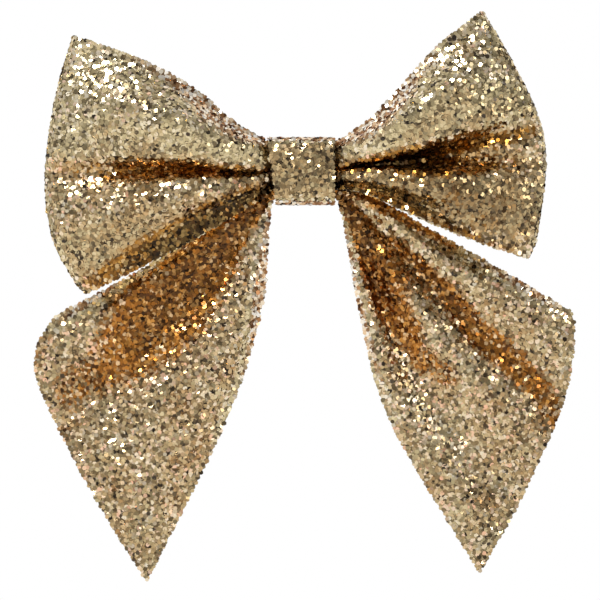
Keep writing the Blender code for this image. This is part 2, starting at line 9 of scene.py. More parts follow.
import bpy
import numpy as np
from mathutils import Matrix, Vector


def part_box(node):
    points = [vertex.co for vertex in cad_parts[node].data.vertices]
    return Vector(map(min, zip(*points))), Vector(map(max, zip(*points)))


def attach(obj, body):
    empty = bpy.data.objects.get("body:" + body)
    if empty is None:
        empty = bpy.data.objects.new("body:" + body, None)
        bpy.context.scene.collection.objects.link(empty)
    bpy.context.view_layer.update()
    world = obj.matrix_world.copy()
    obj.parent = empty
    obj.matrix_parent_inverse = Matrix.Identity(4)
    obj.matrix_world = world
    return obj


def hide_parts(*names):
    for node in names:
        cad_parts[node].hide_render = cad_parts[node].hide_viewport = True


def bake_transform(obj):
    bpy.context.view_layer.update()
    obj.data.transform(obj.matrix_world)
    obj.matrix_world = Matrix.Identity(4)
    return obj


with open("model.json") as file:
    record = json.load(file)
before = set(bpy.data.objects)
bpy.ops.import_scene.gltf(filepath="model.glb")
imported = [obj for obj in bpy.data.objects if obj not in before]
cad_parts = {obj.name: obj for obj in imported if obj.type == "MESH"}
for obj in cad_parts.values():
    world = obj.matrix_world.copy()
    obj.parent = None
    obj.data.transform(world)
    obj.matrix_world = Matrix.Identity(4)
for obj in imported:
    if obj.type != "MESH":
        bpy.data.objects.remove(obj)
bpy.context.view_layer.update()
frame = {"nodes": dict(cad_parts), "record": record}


# Loop strip: one strip of stiff canvas with glitter on its outer side, folded into two loops.
# Its ends lap behind the middle, where the strip is gathered into pleats. The loops stay open
# inside, and the cut edges of the canvas show along their top and bottom.

MM = 0.001
CANVAS = 0.9 * MM
WAIST_HEIGHT = 10.4 * MM
WAIST_RISE = 0.2 * MM
WAIST_PLEAT = 1.3 * MM
WAIST_HALF = 3.6 * MM  # half the length of the gathered middle
LAP_HALF = 5.0 * MM  # half the lap of the strip's ends
LOOP_PUFF = 6.5 * MM
LOOP_BACK_PUFF = 1.6 * MM
LOOP_PLEAT = 4.0 * MM
LOOP_BACK_PLEAT = 0.35 * MM
PLEAT_LOSS = 0.75  # share of the pleats' depth that is gone at the outer fold
FOLD_SHARE = 0.1  # share of a loop's length that its outer fold takes
STRIP_OUTER_Y = -7.75 * MM
STRIP_INNER_Y = -8.95 * MM
STRIP_FRONT_Y = -11.45 * MM
LINE_CORE = 0.35  # a drawn line is at full strength to this share of its half width,
LINE_FADE = 1.25  # and fades out over this share
PATCHES = 0.07  # how much the glitter's colour wanders over the canvas
SHARP_TURN = radians(40)

# Outlines in (X, Z) millimetres, from the knot out. The hollows between the pleats are lines of
# painted shade, of (X, Z, half width, depth), where a depth of 1 is the darkest painted shade
# beside the knot. The rims, where the canvas rolls over at an edge and gets a painted grazing
# reflection, and the lines of painted shade on the lobes, are lines of (X, Z, half width,
# strength). The levels of painted light are those of the upper part, painted lit, and of the lower,
# painted darker and warmer as shade.
LEFT_LOOP = {
    "low": [(-8, -4.6), (-13, -8.5), (-27.7, -17.2), (-40, -23.6), (-53.5, -30.2)],
    "end": [(-53.5, -30.2), (-56.6, -26.8), (-61.9, -16), (-63.6, -1), (-61.2, 17.7),
            (-56.7, 33.5)],
    "high": [(-8, 6.6), (-12, 9.2), (-18, 12.8), (-27, 20.5), (-40.5, 27.8), (-56.7, 33.5)],
    "painted_light_levels": (0.22, 0.37),
    "painted_hollow_shade": [
        [(-8, 0, 0.9, 1), (-13, 0, 1.1, 0.92), (-20.5, 0.5, 1.8, 0.78), (-30.5, 0.5, 2.8, 0.66),
         (-39.5, 0.2, 3.8, 0.59), (-48, 0, 4.2, 0.53), (-60, 0.2, 3.8, 0.46)],
        [(-8, -3.8, 1.4, 1), (-15.5, -7.2, 3.2, 1), (-21.7, -10.9, 4.4, 1),
         (-29.2, -15.6, 5.0, 0.99), (-35.5, -19.4, 5.0, 0.95), (-44, -24, 4.4, 0.82),
         (-52, -28.4, 3.4, 0.64)],
    ],
    "painted_rim_reflections": [[(-8, 6.6, 1.6, 0.9), (-13, 9.2, 2.8, 1), (-20, 13.6, 4.0, 1), (-27, 19.2, 3.6, 0.9),
              (-36, 25.2, 2.2, 0.7), (-45, 29.4, 1.2, 0.4)]],
    "painted_shade_lines": [[(-34, -9, 3, 0.2), (-46, -16, 5, 0.45), (-55, -19, 5, 0.5)],
            [(-9, 4, 2, 0.5), (-22, 6.6, 3.5, 0.35), (-40, 7.5, 4, 0.25), (-58, 8, 4, 0.2)]],
}
RIGHT_LOOP = {
    "low": [(8, -4.2), (17, -6), (30.7, -12.2), (43, -17.2), (56.2, -21.5)],
    "end": [(56.2, -21.5), (58.2, -16), (60.3, 1.5), (58.3, 14), (51, 29), (44.7, 39.6)],
    "high": [(8, 6.8), (12, 9.1), (17, 12.8), (24.5, 20.6), (34.5, 31.5), (44.7, 39.6)],
    "painted_light_levels": (0.24, 0.40),
    "painted_hollow_shade": [
        [(8, 0.2, 1.1, 1), (14.5, 1.2, 1.8, 1), (24.5, 2.8, 3.0, 0.97), (32.7, 4.3, 3.4, 0.88),
         (42, 6.7, 3.0, 0.80), (52, 8.7, 2.5, 0.70), (59, 10.2, 2.2, 0.52)],
        [(24.5, 0.7, 2.0, 1), (34.5, 0.5, 2.6, 0.92), (44.5, 0.7, 2.2, 0.74), (54, 1.5, 1.6, 0.5)],
        [(8, -4, 0.9, 1), (17, -6.6, 1.3, 0.95), (27, -11, 1.6, 0.8), (37, -15, 1.6, 0.66),
         (49, -19, 1.4, 0.5)],
    ],
    "painted_rim_reflections": [[(8, 6.7, 1.6, 0.9), (13, 9.2, 2.8, 1), (17, 12.0, 3.8, 1), (24.5, 19.0, 3.6, 0.9),
              (32, 27.6, 2.2, 0.6), (38, 34.2, 1.2, 0.3)]],
    "painted_shade_lines": [[(14, -1.2, 2, 0.3), (26, -4, 3.5, 0.6), (38, -7, 5, 0.8), (50, -9, 6, 0.8),
             (57, -9, 6, 0.7)],
            [(20, 7.5, 2.5, 0.4), (32, 12.5, 4, 0.5), (44, 16.5, 4.5, 0.5), (56, 18, 4, 0.4)]],
}


def ease(x):
    """0 to 1, level at both ends."""
    x = np.clip(x, 0, 1)
    return x * x * (3 - 2 * x)


def smooth_path(points, shares):
    """Points of a smooth curve through the given ones, at shares 0 to 1 of its length."""
    points = np.array(points, float)
    ends = np.vstack([2 * points[0] - points[1], points, 2 * points[-1] - points[-2]])
    steps_between = 24
    steps = np.linspace(0, 1, steps_between, endpoint=False)[:, None]
    curve = []
    for a, b, c, d in zip(ends, ends[1:], ends[2:], ends[3:]):
        curve.append(0.5 * (2 * b + (c - a) * steps + (2 * a - 5 * b + 4 * c - d) * steps**2
                            + (3 * b - a - 3 * c + d) * steps**3))
    curve = np.vstack([*curve, points[-1:]])
    length = np.concatenate([[0], np.cumsum(np.linalg.norm(np.diff(curve, axis=0), axis=1))])
    wanted = np.asarray(shares) * length[-1]
    return np.stack([np.interp(wanted, length, curve[:, k]) for k in range(curve.shape[1])], axis=1)


def fill_outline(drawing, along, across):
    """Points (X, Z) between an outline's four edges, in rows from the knot to its end."""
    low = smooth_path(drawing["low"], along)[:, None]
    high = smooth_path(drawing["high"], along)[:, None]
    end = smooth_path(drawing["end"], across)[None]
    u, v = along[:, None, None], across[None, :, None]
    start = low[:1] + (high[:1] - low[:1]) * v
    corners = (1 - u) * start + u * ((1 - v) * low[-1:] + v * high[-1:])
    return ((1 - v) * low + v * high + (1 - u) * start + u * end - corners) * MM


def wave(v, crests):
    """Height at v of a pleated line that turns smoothly at each (place, height)."""
    places, heights = np.array(crests, float).T
    k = np.clip(np.searchsorted(places, v) - 1, 0, len(places) - 2)
    share = (v - places[k]) / (places[k + 1] - places[k])
    return heights[k] + (heights[k + 1] - heights[k]) * ease(share)


def near_line(line, x, z):
    """Strength at each point of a line of (X, Z, half width, strength) that fades to its sides."""
    strength = np.zeros_like(x)
    for line_x, line_z, half, full in smooth_path(line, np.linspace(0, 1, 60)):
        away = np.hypot(x - line_x * MM, z - line_z * MM) / (half * MM)
        strength = np.maximum(strength, full * (1 - ease((away - LINE_CORE) / LINE_FADE)))
    return strength


def painted_light_place(drawing, x, z, share):
    """What a flake's colour follows, as painted light: 0 on a rolled rim with a painted grazing
    reflection, 0.2 on a lit crest, 1 in the deepest painted shade of a hollow.
    """
    top, bottom = drawing["painted_light_levels"]
    upright = np.sin(x / (3.1 * MM) + 1.7 * np.sin(z / (4.3 * MM)))
    patches = upright * np.sin(z / (3.7 * MM) - x / (6.1 * MM))
    place = bottom + (top - bottom) * share + PATCHES * patches
    for line in drawing["painted_hollow_shade"]:
        place = np.maximum(place, near_line(line, x, z))
    for line in drawing["painted_rim_reflections"]:
        place = place * (1 - near_line(line, x, z))
    return place


def loop_crests(side, u):
    """Pleats of a loop's front across its width, from the lower edge (0) to the upper (1)."""
    spread = float(ease(u))
    edge = 0.02 + 0.12 * (1 - spread)
    if side < 0:
        valley = 0.41 + 0.06 * float(ease(u / 0.35))
        return [(0.0, -0.7), (edge, -0.8 + 0.3 * spread), (0.28, 0.6), (valley - 0.10, 0.45),
                (valley, -1.0 + 0.3 * spread), (valley + 0.09, 0.5), (0.76, 1.0), (1.0, -0.9)]
    valley = 0.40 + 0.05 * spread
    inner = valley - 0.07 * spread
    outer = valley + 0.03 + 0.03 * spread
    return [(0.0, 0.1), (edge, -0.8 * (1 - spread)), (0.22, 0.6), (inner - 0.08, 0.45),
            (inner, -1.1), ((inner + outer) / 2, -1.1 + 0.6 * spread), (outer, -1.1),
            (outer + 0.09, 0.5), (0.78, 1.0), (1.0, -0.9)]


def loop_panels(side, drawing, along, across):
    """Points of one loop's front and of its back, in rows from the knot to the fold."""
    x, z = np.moveaxis(fill_outline(drawing, along, across), 2, 0)
    u, v = along[:, None], across[None, :]
    puff = 0.75 * np.sin(pi * u**0.8) + 0.25 * ease(u)
    pleat = WAIST_PLEAT + (LOOP_PLEAT - WAIST_PLEAT) * ease(u / 0.45)
    pleat = pleat * (1 - PLEAT_LOSS * ease((u - 0.55) / 0.45))
    waves = np.array([wave(across, loop_crests(side, share)) for share in along])
    front = STRIP_FRONT_Y - LOOP_PUFF * puff - pleat * waves
    root = STRIP_INNER_Y if side < 0 else STRIP_OUTER_Y
    back = root + (STRIP_INNER_Y - LOOP_BACK_PUFF - root) * ease(u / 0.3)
    back = back + LOOP_BACK_PLEAT * np.cos(4 * pi * v) * ease(u / 0.4)
    closing = np.clip((u - (1 - FOLD_SHARE)) / FOLD_SHARE, 0, 1)
    middle, half = (front + back) / 2, (back - front) / 2 * np.sqrt(1 - closing**2)
    place = painted_light_place(drawing, x, z, ease((v - 0.42) / 0.3))
    crest = drawing["painted_light_levels"][0]
    # The back panel is painted with the darkest shade beside the knot, fading to the crest's level;
    # the front's painted light turns to the crest's at the outer fold.
    painted_back_shade = crest + (1 - crest) * (1 - ease((u - 0.05) / 0.3)) + 0 * z
    before = place + (crest - place) * ease((closing - 0.7) / 0.3)
    fronts = np.stack([x, middle - half, z, before], axis=2)
    return fronts, np.stack([x, middle + half, z, painted_back_shade], axis=2)


def waist_row(x, y, across, pleated, side):
    """One row across the strip's middle, in pleats or flat."""
    depth = y - (WAIST_PLEAT * wave(across, loop_crests(side, 0)) if pleated else 0)
    z = (across - 0.5) * WAIST_HEIGHT + WAIST_RISE
    # The gathered middle is painted with the darkest shade, as beside the knot.
    return np.stack([0 * z + x, 0 * z + depth, z, 0 * z + 1], axis=1)[None]


def sheet_normals(points):
    """Directions out of a grid's outer side."""
    normals = np.cross(np.gradient(points, axis=0), np.gradient(points, axis=1))
    return normals / np.linalg.norm(normals, axis=2, keepdims=True)


def set_attribute(mesh_data, name, kind, values):
    """Stores a number or a vector for every vertex of a mesh."""
    made = mesh_data.attributes.new(name, kind, "POINT")
    key = "vector" if kind == "FLOAT_VECTOR" else "value"
    made.data.foreach_set(key, np.asarray(values, np.float32).ravel())


def add_piece(name, vertices, faces, finishes, finish_of=None):
    """A mesh object with smooth faces, and sharp edges where it turns sharply."""
    mesh_data = bpy.data.meshes.new(name)
    mesh_data.from_pydata(np.asarray(vertices).tolist(), [], [list(face) for face in faces])
    for finish in finishes:
        mesh_data.materials.append(finish)
    if finish_of is not None:
        mesh_data.polygons.foreach_set("material_index", np.asarray(finish_of, np.int32))
    mesh_data.shade_smooth()
    mesh_data.set_sharp_from_angle(angle=SHARP_TURN)
    mesh_data.update()
    obj = bpy.data.objects.new(name, mesh_data)
    bpy.context.scene.collection.objects.link(obj)
    return obj


def grid_faces(count, width):
    """Quads of a grid of count rows and width columns."""
    i, j = np.meshgrid(np.arange(count - 1), np.arange(width - 1), indexing="ij")
    low = (i * width + j).ravel()
    return np.stack([low, low + width, low + width + 1, low + 1], axis=1)


def canvas_sheet(name, rows, finishes):
    """A closed sheet of canvas about a grid of points: glitter side, woven side and cut edges."""
    points = rows[..., :3]
    count, width = points.shape[:2]
    normals = sheet_normals(points)
    vertices = np.vstack([(points + normals * CANVAS / 2).reshape(-1, 3),
                          (points - normals * CANVAS / 2).reshape(-1, 3)])
    outer = grid_faces(count, width)
    inner = outer[:, ::-1] + count * width
    rim = [(i, 0) for i in range(count)] + [(count - 1, j) for j in range(1, width)]
    rim += [(i, width - 1) for i in range(count - 2, -1, -1)]
    rim += [(0, j) for j in range(width - 2, 0, -1)]
    rim = [i * width + j for i, j in rim]
    edges = [(b, a, a + count * width, b + count * width) for a, b in zip(rim, rim[1:] + rim[:1])]
    faces = [*outer.tolist(), *inner.tolist(), *edges]
    kinds = [0] * len(outer) + [1] * len(inner) + [2] * len(edges)
    sheet = add_piece(name, vertices, faces, finishes, kinds)
    steps_along = np.diff(points, axis=0, prepend=points[:1])
    steps_across = np.diff(points, axis=1, prepend=points[:, :1])
    along = np.cumsum(np.linalg.norm(steps_along, axis=2), axis=0)
    across = np.cumsum(np.linalg.norm(steps_across, axis=2), axis=1)
    cloth = np.stack([along.mean(axis=1)[:, None] + 0 * along, across, 0 * along], axis=2)
    cloth = cloth.reshape(-1, 3)
    set_attribute(sheet.data, "cloth", "FLOAT_VECTOR", np.vstack([cloth, cloth]))
    # The fourth value of each point is its painted light: shade in the hollows, grazing reflection
    # on the rims. The lacquer reads it as 'hollow'.
    depth = rows[..., 3].ravel()
    set_attribute(sheet.data, "hollow", "FLOAT", np.concatenate([depth, depth]))
    return sheet


class Wire:
    """A socket in a material. Sums, products and the like of wires add Math nodes."""

    def __init__(self, socket):
        self.socket = socket

    def node(self, kind, settings, sockets, output=0):
        """Adds any node: its settings come first, then its sockets' values or wires."""
        tree = self.socket.id_data
        made = tree.nodes.new("ShaderNode" + kind)
        for key, value in settings.items():
            if key == "stops":
                ramp = made.color_ramp
                while len(ramp.elements) < len(value):
                    ramp.elements.new(0.5)
                for element, (place, colour) in zip(ramp.elements, value):
                    element.position = place
                    element.color = (*colour, 1)
            else:
                setattr(made, key, value)
        for key, value in sockets.items():
            if isinstance(value, Wire):
                tree.links.new(value.socket, made.inputs[key])
            else:
                made.inputs[key].default_value = value
        return Wire(made.outputs[output])

    def math(self, operation, a, b=0.5):
        """Adds a Math node that works on a, or on a and b."""
        return self.node("Math", {"operation": operation}, {0: a, 1: b})

    def __add__(self, other):
        return self.math("ADD", self, other)

    def __radd__(self, other):
        return self.math("ADD", other, self)

    def __sub__(self, other):
        return self.math("SUBTRACT", self, other)

    def __rsub__(self, other):
        return self.math("SUBTRACT", other, self)

    def __mul__(self, other):
        return self.math("MULTIPLY", self, other)

    def __rmul__(self, other):
        return self.math("MULTIPLY", other, self)

    def between(self, low, high):
        """0 below low, 1 above high, and smooth between them."""
        return self.node("MapRange", {"interpolation_type": "SMOOTHSTEP"},
                         {"Value": self, "From Min": low, "From Max": high})

    def mix(self, low, high):
        """The colour low where this wire is 0 and high where it is 1."""
        sockets = {"Factor": self, 6: low, 7: high}  # 6, 7 and output 2 are the colours
        return self.node("Mix", {"data_type": "RGBA"}, sockets, output=2)

    def bump(self, height):
        """The normal of a surface raised by this wire times height, in metres."""
        return self.node("Bump", {}, {"Height": self, "Distance": height, "Strength": 1.0})


def new_finish(name):
    """A new material, and the wire of its piece's own coordinates in metres."""
    finish = bpy.data.materials.new(name)
    finish.use_nodes = True
    shader = Wire(finish.node_tree.nodes["Principled BSDF"].outputs[0])
    return finish, shader.node("TexCoord", {}, {}, "Object")


def set_shader(finish, sockets):
    """Sets or links the sockets of a finish's shader."""
    shader = finish.node_tree.nodes["Principled BSDF"]
    for key, value in sockets.items():
        if isinstance(value, Wire):
            finish.node_tree.links.new(value.socket, shader.inputs[key])
        else:
            shader.inputs[key].default_value = value


def grain(place, scale, detail=2.0):
    """Soft random values of about that many to the metre."""
    return place.node("TexNoise", {}, {"Vector": place, "Scale": scale, "Detail": detail})


def make_base_coat(name):
    """Clear lacquer full of gold dust, seen in the gaps between the flakes, with painted shade in
    the hollows.
    """
    dust_to_metre = 1400
    finish, place = new_finish(name)
    speck = place.node("TexVoronoi", {}, {"Vector": place, "Scale": dust_to_metre}, output=1)
    tone = speck.node("SeparateColor", {}, {"Color": speck})
    depth = place.node("Attribute", {"attribute_name": "hollow"}, {}, output=2)
    # Painted shade: the lacquer is darker and redder where the hollow value is deep.
    crest = tone.mix((0.10, 0.07, 0.035, 1), (0.42, 0.33, 0.19, 1))
    valley = tone.mix((0.03, 0.012, 0.004, 1), (0.22, 0.09, 0.02, 1))
    raised = grain(place, 2500)
    set_shader(finish, {"Base Color": depth.between(0.25, 0.6).mix(crest, valley), "Metallic": 0.85,
                        "Roughness": 0.35 + 0.2 * tone, "Normal": raised.bump(0.12 * MM)})
    return finish


def make_backing(name):
    """Plain-woven cotton, two-tone by its threads, on the canvas's other side."""
    thread_pitch = 0.42 * MM
    finish, place = new_finish(name)
    cloth = place.node("Attribute", {"attribute_name": "cloth"}, {}, output=1)
    along = cloth.node("SeparateXYZ", {}, {"Vector": cloth}, output=0) * (pi / thread_pitch)
    across = cloth.node("SeparateXYZ", {}, {"Vector": cloth}, output=1) * (pi / thread_pitch)
    warp = along.math("SINE", along)
    weft = across.math("SINE", across)
    over = (warp * weft).math("ABSOLUTE", warp * weft)
    fuzz = grain(place, 900, 4.0)
    tint = fuzz.between(0.35, 0.7) * 0.5 + over * 0.5
    set_shader(finish, {"Base Color": tint.mix((0.42, 0.33, 0.22, 1), (0.70, 0.60, 0.45, 1)),
                        "Roughness": 0.85, "Normal": (over + fuzz * 0.4).bump(0.09 * MM)})
    return finish


def make_cut_edge(name):
    """The cut edge of the canvas: pale fibres under a thin line of gold coat."""
    finish, place = new_finish(name)
    fibres = grain(place, 2200, 5.0)
    colour = fibres.between(0.3, 0.7).mix((0.38, 0.27, 0.15, 1), (0.72, 0.62, 0.46, 1))
    set_shader(finish, {"Base Color": colour, "Roughness": 0.75,
                        "Normal": fibres.bump(0.08 * MM)})
    return finish


canvas_finishes = [make_base_coat("gold_dust_lacquer"), make_backing("woven_backing"),
                   make_cut_edge("cut_canvas_edge")]

across = np.linspace(0, 1, 57)
fold_turn = np.linspace(0, pi / 2, 9)
along = np.concatenate([np.linspace(0, 1 - FOLD_SHARE, 46)[:-1],
                        1 - FOLD_SHARE * (1 - np.sin(fold_turn))])
left_front, left_back = loop_panels(-1, LEFT_LOOP, along, across)
right_front, right_back = loop_panels(1, RIGHT_LOOP, along, across)
lap_places = np.linspace(LAP_HALF, -LAP_HALF, 5)
inner_lap = [waist_row(x, STRIP_INNER_Y, across, False, -1) for x in lap_places]
outer_lap = [waist_row(x, STRIP_OUTER_Y, across, False, 1) for x in lap_places]
gathered = [waist_row(x, STRIP_FRONT_Y, across, True, side)
            for x, side in ((-WAIST_HALF, -1), (-WAIST_HALF / 2, -1), (0, -1),
                            (WAIST_HALF / 2, 1), (WAIST_HALF, 1))]
left_rows = [left_back, left_front[-2::-1]]
right_rows = [right_front, right_back[-2::-1]]
strip_rows = np.concatenate([*inner_lap, *left_rows, *gathered, *right_rows, *outer_lap])
loop_strip = canvas_sheet("loop_strip_canvas", strip_rows, canvas_finishes)


# Glitter: hexagons about 1 mm across, cut from metal-coated film and scattered over wet lacquer,
# so that they overlap, tilt a little and hang over the cut edges.

FLAKE_RADIUS = 0.60 * MM
FLAKE_THICKNESS = 0.08 * MM
FLAKE_SPACING = 0.50 * MM
FLAKE_LIFT = 0.22 * MM
FLAKE_TILT = 0.24  # radians
LEAN_LOW, LEAN_HIGH = 0.3, 1.9  # times the tilt
SIZE_LOW, SIZE_HIGH = 0.86, 1.08  # times the radius
FLAKES_TRIED = 11.0e6  # to the square metre, before those that lie too close are dropped
FLAKE_CORNERS = 7  # a hexagon's six, and the point under it
DARKENED = 0.7  # how much of a flake's tone is lost as painted shade where a line of it is at full strength
MINGLED = 0.28  # how far flakes of one depth of painted shade stray among those of another
MAP_MARGIN = 0.01
MAP_SPREAD = 0.004  # radius of a flake in its own UV map
HIDDEN_HALF = 6.2 * MM  # half the width of the middle that the knot covers


def make_flake_finish(name, painted_valley_shade_stops, painted_pit_shade_stops):
    """Cut metal-coated film, painted in lit, shaded and reflecting copies by the depth of painted
    light at its place. A flake's tone and that depth are in its own UV map.
    """
    finish, place = new_finish(name)
    own_map = place.node("UVMap", {"uv_map": "OFBake"}, {})
    tone = own_map.node("SeparateXYZ", {}, {"Vector": own_map}, output=0)
    depth = own_map.node("SeparateXYZ", {}, {"Vector": own_map}, output=1)
    # A rim's painted grazing reflection: pale peach and white flakes among dark red-brown ones.
    rolled = tone.node("ValToRGB", {"stops": [
        (0.05, (0.14, 0.055, 0.018)), (0.28, (0.44, 0.21, 0.08)), (0.50, (0.86, 0.60, 0.36)),
        (0.75, (0.98, 0.84, 0.64)), (0.95, (0.98, 0.93, 0.84))]}, {"Fac": tone})
    crest = tone.node("ValToRGB", {"stops": [
        (0.02, (0.06, 0.045, 0.033)), (0.06, (0.20, 0.15, 0.08)), (0.20, (0.51, 0.415, 0.22)),
        (0.45, (0.69, 0.56, 0.31)), (0.70, (0.83, 0.69, 0.42)), (0.90, (0.96, 0.86, 0.66)),
        (0.98, (0.98, 0.72, 0.52))]}, {"Fac": tone})
    # Painted shade and bounced light: the darker, warmer copy for lower slopes, tails and the
    # knot's front.
    painted_slope_shade = tone.node("ValToRGB", {"stops": [
        (0.02, (0.05, 0.034, 0.02)), (0.07, (0.15, 0.10, 0.05)), (0.20, (0.36, 0.245, 0.115)),
        (0.45, (0.53, 0.365, 0.17)), (0.70, (0.69, 0.485, 0.25)), (0.90, (0.93, 0.74, 0.50)),
        (0.98, (0.96, 0.55, 0.34))]}, {"Fac": tone})
    # Painted shade in the hollows and in the pit beside the knot, from the stops given.
    valley = tone.node("ValToRGB", {"stops": painted_valley_shade_stops}, {"Fac": tone})
    painted_pit_shade = tone.node("ValToRGB", {"stops": painted_pit_shade_stops}, {"Fac": tone})
    # By the depth of painted light: a painted grazing reflection on a rolled rim, the lit crest,
    # painted shade on a warm lower slope, painted shade in a hollow, and the darkest painted shade
    # in the pit beside the knot.
    gold = depth.between(0.03, 0.17).mix(rolled, depth.between(0.20, 0.40).mix(crest, painted_slope_shade))
    colour = depth.between(0.72, 0.98).mix(depth.between(0.40, 0.64).mix(gold, valley), painted_pit_shade)
    set_shader(finish, {"Base Color": colour, "Metallic": 1.0, "Roughness": 0.13 + 0.14 * tone,
                        "Coat Weight": 0.3, "Coat Roughness": 0.10})
    return finish


def make_flake_tree():
    """Scatters flakes over a surface where its attribute 'cover' is 1."""
    tree = bpy.data.node_groups.new("scattered_flakes", "GeometryNodeTree")
    tree.interface.new_socket("Geometry", in_out="OUTPUT", socket_type="NodeSocketGeometry")
    tree.interface.new_socket("Geometry", in_out="INPUT", socket_type="NodeSocketGeometry")
    for name in ("Spacing", "Tried", "Radius", "Thickness", "Lift", "Tilt"):
        tree.interface.new_socket(name, in_out="INPUT", socket_type="NodeSocketFloat")
    tree.interface.new_socket("Seed", in_out="INPUT", socket_type="NodeSocketInt")
    tree.interface.new_socket("Finish", in_out="INPUT", socket_type="NodeSocketMaterial")

    def add(kind, settings=None, sockets=None):
        made = tree.nodes.new(kind)
        for key, value in (settings or {}).items():
            setattr(made, key, value)
        for key, value in (sockets or {}).items():
            if isinstance(value, bpy.types.NodeSocket):
                tree.links.new(value, made.inputs[key])
            else:
                made.inputs[key].default_value = value
        return made

    def chance(kind, low, high, seed):
        least, most, value = {"FLOAT": (2, 3, 1), "FLOAT_VECTOR": (0, 1, 0)}[kind]
        made = add("FunctionNodeRandomValue", {"data_type": kind},
                   {least: low, most: high, "Seed": seed})
        return made.outputs[value]

    def turn(rotation, angles):
        by = add("FunctionNodeEulerToRotation", {}, {0: angles}).outputs[0]
        made = add("FunctionNodeRotateRotation", {"rotation_space": "LOCAL"},
                   {"Rotation": rotation, "Rotate By": by})
        return made.outputs[0]

    given = add("NodeGroupInput").outputs
    cover = add("GeometryNodeInputNamedAttribute", {"data_type": "FLOAT"}, {"Name": "cover"})
    points = add("GeometryNodeDistributePointsOnFaces", {"distribute_method": "POISSON"},
                 {"Mesh": given["Geometry"], "Distance Min": given["Spacing"],
                  "Density Max": given["Tried"], "Density Factor": cover.outputs["Attribute"],
                  "Seed": given["Seed"]})
    lift = add("ShaderNodeMath", {"operation": "MULTIPLY"},
               {0: given["Lift"], 1: chance("FLOAT", 0.0, 1.0, 11)})
    raised = add("ShaderNodeVectorMath", {"operation": "SCALE"},
                 {0: points.outputs["Normal"], "Scale": lift.outputs[0]})
    placed = add("GeometryNodeSetPosition", {},
                 {"Geometry": points.outputs["Points"], "Offset": raised.outputs[0]})
    tilt = add("ShaderNodeVectorMath", {"operation": "SCALE"},
               {0: chance("FLOAT_VECTOR", (-1, -1, 0), (1, 1, 0), 12), "Scale": given["Tilt"]})
    uneven = chance("FLOAT_VECTOR", (LEAN_LOW, LEAN_LOW, 0), (LEAN_HIGH, LEAN_HIGH, 0), 13)
    lean = add("ShaderNodeVectorMath", {"operation": "MULTIPLY"}, {0: tilt.outputs[0], 1: uneven})
    leant = turn(points.outputs["Rotation"], lean.outputs[0])
    turned = turn(leant, chance("FLOAT_VECTOR", (0, 0, 0), (0, 0, 2 * pi), 14))
    flake = add("GeometryNodeMeshCone", {"fill_type": "NGON"},
                {"Vertices": 6, "Radius Top": given["Radius"], "Radius Bottom": 0.0,
                 "Depth": given["Thickness"]})
    size = chance("FLOAT", SIZE_LOW, SIZE_HIGH, 15)
    laid = add("GeometryNodeInstanceOnPoints", {},
               {"Points": placed.outputs[0], "Instance": flake.outputs["Mesh"],
                "Rotation": turned, "Scale": size})
    toned = add("GeometryNodeStoreNamedAttribute", {"data_type": "FLOAT", "domain": "INSTANCE"},
                {"Geometry": laid.outputs[0], "Name": "tone",
                 "Value": chance("FLOAT", 0.0, 1.0, 16)})
    joined = add("GeometryNodeRealizeInstances", {}, {"Geometry": toned.outputs[0]})
    coloured = add("GeometryNodeSetMaterial", {},
                   {"Geometry": joined.outputs[0], "Material": given["Finish"]})
    add("NodeGroupOutput", {}, {"Geometry": coloured.outputs[0]})
    return tree


